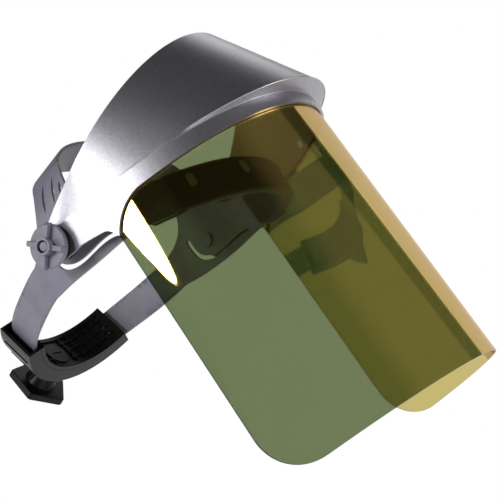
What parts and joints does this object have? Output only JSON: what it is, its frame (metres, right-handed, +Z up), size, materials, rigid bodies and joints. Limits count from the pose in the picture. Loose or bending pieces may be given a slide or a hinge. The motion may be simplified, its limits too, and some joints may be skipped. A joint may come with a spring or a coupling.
{
  "type": "face shield",
  "caption": "Flip-up face shield: silver crown with a brim, tinted gold-coated wraparound window, friction pivots and ratchet headgear.",
  "frame": {"origin": "midway between the two temple pivots, on the axis that the visor tilts about", "axes": "+X to the wearer's left, -Y the way the wearer faces, +Z up"},
  "size_m": [0.1976, 0.2811, 0.248],
  "materials": {
    "silver_lacquer": "silver lacquer with a fine metallic sparkle over moulded thermoplastic",
    "gold_window": "clear green-tinted polycarbonate sheet with a thin gold mirror coat on its outer face",
    "silver_metal": "plain blind rivets",
    "black_rubber": "matte moulded rubber",
    "grey_plastic": "satin moulded polyethylene, cool grey",
    "pale_plastic": "satin moulded buttons",
    "black_plastic": "satin moulded plastic, black",
    "brow_leatherette": "padded leatherette, sewn, dark brown to black",
    "zinc_steel": "zinc-plated steel",
    "insert_brass": "turned brass insert"
  },
  "bodies": {
    "headgear": {"side_plate_right": "grey_plastic", "side_plate_left": "grey_plastic", "brow_band": "grey_plastic", "sweatband": "brow_leatherette", "sweatband_clip_right": "grey_plastic", "sweatband_clip_left": "grey_plastic", "sweatband_studs": "pale_plastic", "pivot_bolt_right": "zinc_steel", "pivot_bolt_left": "zinc_steel", "inner_spacer_right": "black_plastic", "inner_spacer_left": "black_plastic", "nape_strap_right": "grey_plastic", "nape_strap_left": "grey_plastic", "overhead_strap_right": "grey_plastic", "overhead_strap_left": "grey_plastic"},
    "visor": {"crown_shell": "silver_lacquer", "window": "gold_window", "window_retaining_strip": "silver_lacquer", "window_rivets": "silver_metal", "outer_washer_right": "black_rubber", "outer_washer_left": "black_rubber"},
    "right_knob": {"knob_right": "grey_plastic", "knob_insert_right": "insert_brass"},
    "left_knob": {"knob_left": "grey_plastic", "knob_insert_left": "insert_brass"},
    "ratchet": {"ratchet_housing": "black_plastic", "ratchet_inner_cover": "black_plastic", "detent_spring": "zinc_steel", "housing_screws": "black_plastic"},
    "rear_dial": {"ratchet_knob": "black_plastic", "pinion": "black_plastic", "knob_screw": "black_plastic"},
    "overhead_top": {"overhead_peg_clip": "grey_plastic"}
  },
  "joints": [
    {"name": "visor_tilt", "type": "hinge", "parent": "headgear", "child": "visor", "pos_m": [0, 0, 0], "axis": [-1, 0, 0], "range_deg": [-8, 82]},
    {"name": "right_knob_turn", "type": "hinge", "parent": "headgear", "child": "right_knob", "pos_m": [-0.0925, 0, 0], "axis": [-1, 0, 0], "range_deg": [0, 270]},
    {"name": "left_knob_turn", "type": "hinge", "parent": "headgear", "child": "left_knob", "pos_m": [0.0925, 0, 0], "axis": [1, 0, 0], "range_deg": [0, 270]},
    {"name": "headband_size", "type": "slide", "parent": "headgear", "child": "ratchet", "axis": [0, -1, 0], "range_m": [-0.0125, 0.0125], "deforming": ["nape_strap_right", "nape_strap_left"]},
    {"name": "rear_dial_turn", "type": "hinge", "parent": "ratchet", "child": "rear_dial", "pos_m": [0, 0.104, -0.016], "axis": [0, -0.9613, 0.2756], "range_deg": [-120, 120]},
    {"name": "overhead_height", "type": "slide", "parent": "headgear", "child": "overhead_top", "axis": [0, 0, 1], "range_m": [-0.008, 0.012], "deforming": ["overhead_strap_right", "overhead_strap_left"]}
  ],
  "couplings": [
    {"joint": "rear_dial_turn", "follows": "headband_size", "rad_per_m": 166.67}
  ]
}
